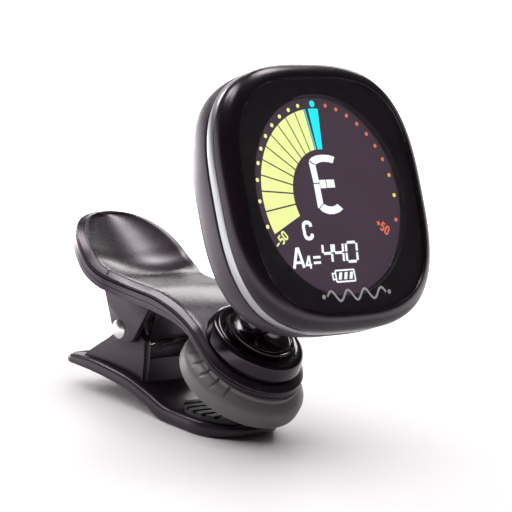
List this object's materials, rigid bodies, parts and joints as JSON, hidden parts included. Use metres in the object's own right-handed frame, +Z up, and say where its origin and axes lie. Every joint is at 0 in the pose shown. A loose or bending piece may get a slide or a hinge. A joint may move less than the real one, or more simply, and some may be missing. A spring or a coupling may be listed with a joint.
{
  "type": "clip-on tuner",
  "caption": "Clip-on instrument tuner: a sprung clip with a wide thumb pad, a swivel and tilt hinge, and a rounded-square display head.",
  "frame": {"origin": "middle of the flat face under the lower jaw, which the clip stands on", "axes": "+X from the thumb pad to the jaws, +Z up, Y across the clip; the outer shape is mirrored about y = 0"},
  "size_m": [0.0739, 0.05, 0.0718],
  "materials": {
    "clip_plastic": "satin moulded nylon",
    "cover_plastic": "satin to semi-gloss",
    "pad_rubber": "soft matt",
    "disc_rubber": "soft matt",
    "chromed_pin": "polished",
    "spring_steel": "oiled wire",
    "screw_steel": "plain",
    "gloss_black": "glossy",
    "brass_screw": "plain",
    "shell_plastic": "satin",
    "silver_trim": "satin silver",
    "bezel_plastic": "satin",
    "clear_panel": "clear, glossy",
    "panel_black": "black print",
    "display_glass": "colour display behind glass",
    "white_plastic": "diffuser",
    "grey_plastic": "moulded",
    "board_green": "solder mask",
    "chip_black": "moulded",
    "cell_wrap": "foil pouch",
    "sensor_brass": "plain",
    "socket_steel": "plain",
    "button_red": "satin",
    "button_black": "satin"
  },
  "bodies": {
    "lower_clip": {"lower_lever": "clip_plastic", "lower_pad": "pad_rubber", "pivot_pin": "chromed_pin", "torsion_spring": "spring_steel"},
    "upper_clip": {"upper_frame": "clip_plastic", "upper_cover": "cover_plastic", "jaw_pad": "disc_rubber"},
    "swivel": {"swivel_screw": "screw_steel", "swivel_washer": "screw_steel", "swivel_base": "gloss_black", "swivel_collar": "gloss_black", "hinge_post": "gloss_black"},
    "head": {"hinge_screw": "brass_screw", "hinge_nut": "brass_screw", "tilt_washers": "screw_steel", "head_bracket": "gloss_black", "rear_shell": "shell_plastic", "trim_ring": "silver_trim", "front_bezel": "bezel_plastic", "front_panel": "clear_panel", "panel_mask": "panel_black", "window_ring": "panel_black", "display_module": "display_glass", "backlight": "white_plastic", "display_carrier": "grey_plastic", "main_board": "board_green", "board_chips": "chip_black", "button_switches": "chip_black", "battery_cell": "cell_wrap", "sensor_disc": "sensor_brass", "charge_socket": "socket_steel", "case_screws": "screw_steel"},
    "power_key": {"power_button": "button_red"},
    "up_key": {"up_button": "button_black"},
    "down_key": {"down_button": "button_black"}
  },
  "joints": [
    {"name": "clip_pivot", "type": "hinge", "parent": "lower_clip", "child": "upper_clip", "pos_m": [-0.0216, 0, 0.0146], "axis": [0, -1, 0], "range_deg": [0, 22], "stiffness_Nm_per_rad": 0.35, "springref_deg": -34.38, "deforming": ["torsion_spring"]},
    {"name": "swivel_turn", "type": "hinge", "parent": "upper_clip", "child": "swivel", "pos_m": [0.00834, 0, 0.0198], "axis": [0.4886, 0, 0.8725], "range_deg": [-170, 170]},
    {"name": "head_tilt", "type": "hinge", "parent": "swivel", "child": "head", "pos_m": [0.01127, 0, 0.02504], "axis": [0, 1, 0], "range_deg": [-50, 40]},
    {"name": "power_press", "type": "slide", "parent": "head", "child": "power_key", "axis": [0.9128, 0, 0.4083], "range_m": [0, 0.0005], "stiffness_N_per_m": 900, "springref_m": -0.0008},
    {"name": "up_press", "type": "slide", "parent": "head", "child": "up_key", "axis": [0.9128, 0, 0.4083], "range_m": [0, 0.0005], "stiffness_N_per_m": 900, "springref_m": -0.0008},
    {"name": "down_press", "type": "slide", "parent": "head", "child": "down_key", "axis": [0.9128, 0, 0.4083], "range_m": [0, 0.0005], "stiffness_N_per_m": 900, "springref_m": -0.0008}
  ]
}
